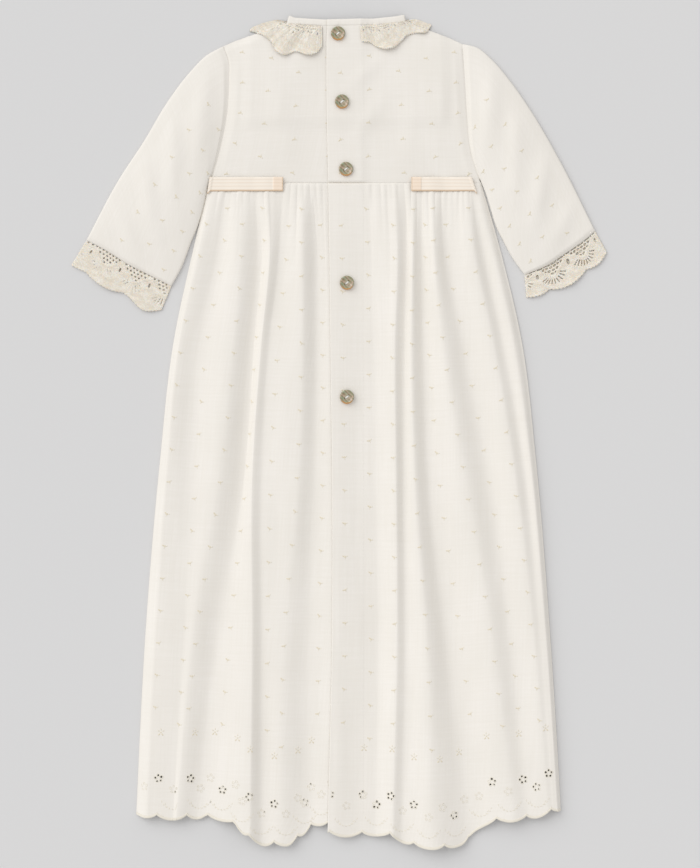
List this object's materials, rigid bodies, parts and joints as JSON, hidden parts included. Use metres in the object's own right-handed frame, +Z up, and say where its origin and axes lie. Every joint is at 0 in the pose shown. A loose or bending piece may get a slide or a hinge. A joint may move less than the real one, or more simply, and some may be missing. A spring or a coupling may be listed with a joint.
{
  "type": "christening gown",
  "caption": "Baby christening gown laid flat with its back up: buttoned yoke, long gathered skirt, lace collar frill and cuffs, ribbon at the waist, scalloped hem.",
  "frame": {"origin": "on the floor, at the middle of the bounding box's bottom face", "axes": "+Y along the gown towards the neck, +X towards the wearer's right, +Z up from the floor out of the gown's back"},
  "size_m": [0.4831, 0.7505, 0.0132],
  "materials": {
    "batiste": "fine plain cotton weave, ivory, with small embroidered sprigs",
    "lace": "cotton bobbin lace, pale beige",
    "ribbon": "satin ribbon, cream with a peach tint",
    "pearl": "polished mother-of-pearl, grey-brown with a green and pink shimmer"
  },
  "bodies": {
    "root": {"skirt_front": "batiste", "skirt_back_left": "batiste", "skirt_back_right": "batiste", "bodice_front": "batiste", "bodice_back_left": "batiste", "bodice_back_right": "batiste", "sleeve_left": "batiste", "sleeve_right": "batiste", "neck_binding_front": "batiste", "neck_binding_back_left": "batiste", "neck_binding_back_right": "batiste", "collar_lace_front": "lace", "collar_lace_left": "lace", "collar_lace_right": "lace", "cuff_lace_left_lower": "lace", "cuff_lace_left_upper": "lace", "cuff_lace_right_lower": "lace", "cuff_lace_right_upper": "lace", "ribbon_left": "ribbon", "ribbon_right": "ribbon", "button_1": "pearl", "button_2": "pearl", "button_3": "pearl", "button_4": "pearl", "button_5": "pearl"}
  },
  "joints": []
}
